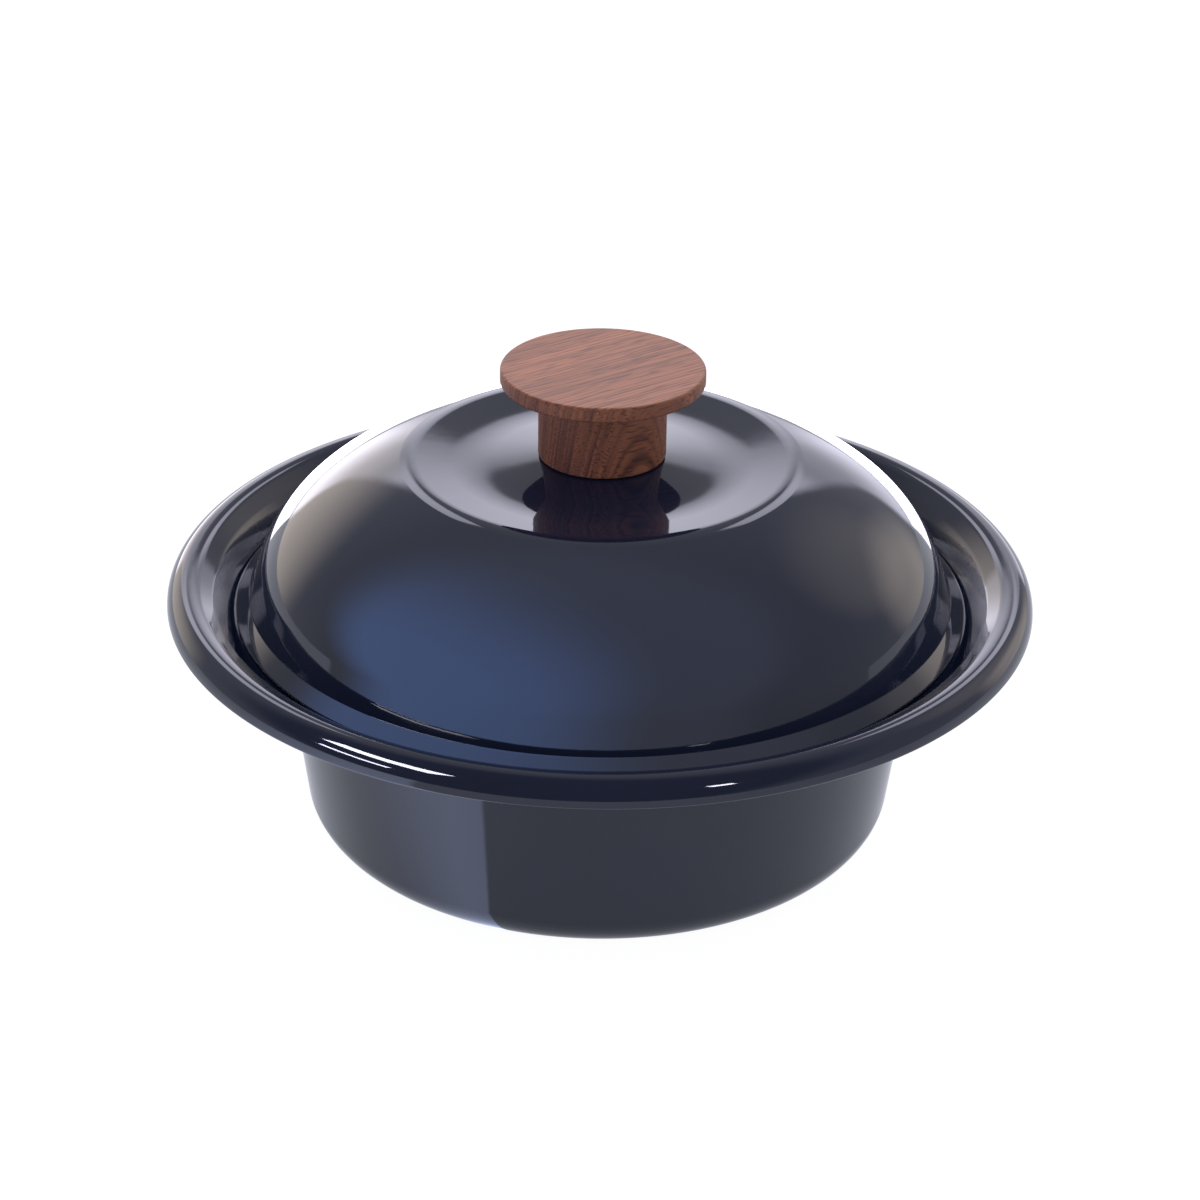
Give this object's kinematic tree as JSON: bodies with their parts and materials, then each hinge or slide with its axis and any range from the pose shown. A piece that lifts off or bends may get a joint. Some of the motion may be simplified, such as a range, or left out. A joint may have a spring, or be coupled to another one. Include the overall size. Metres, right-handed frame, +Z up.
{
  "type": "enamel pot",
  "caption": "Round enamelled steel table pot with a tapered wall, a wide half-round brim and a lift-off domed lid with a turned wooden knob.",
  "frame": {"origin": "centre of the flat base, on the table the pot stands on", "axes": "+Z up along the axis of the pot, -Y towards the camera of the picture"},
  "size_m": [0.2798, 0.2798, 0.1564],
  "materials": {
    "enamel": "dark navy porcelain enamel on steel, high gloss",
    "wood": "turned reddish-brown hardwood, oiled, matt",
    "silicone": "dark grey silicone, matt",
    "brass": "machined brass",
    "stainless": "plain stainless steel"
  },
  "bodies": {
    "pot": {"pot_body": "enamel"},
    "lid": {"lid_shell": "enamel", "knob": "wood", "knob_insert": "brass", "knob_screw": "stainless", "knob_gasket": "silicone", "screw_seal": "silicone", "screw_washer": "stainless"}
  },
  "joints": [
    {"name": "lid_lift", "type": "slide", "parent": "pot", "child": "lid", "axis": [0, 0, 1], "range_m": [0, 0.16]}
  ]
}
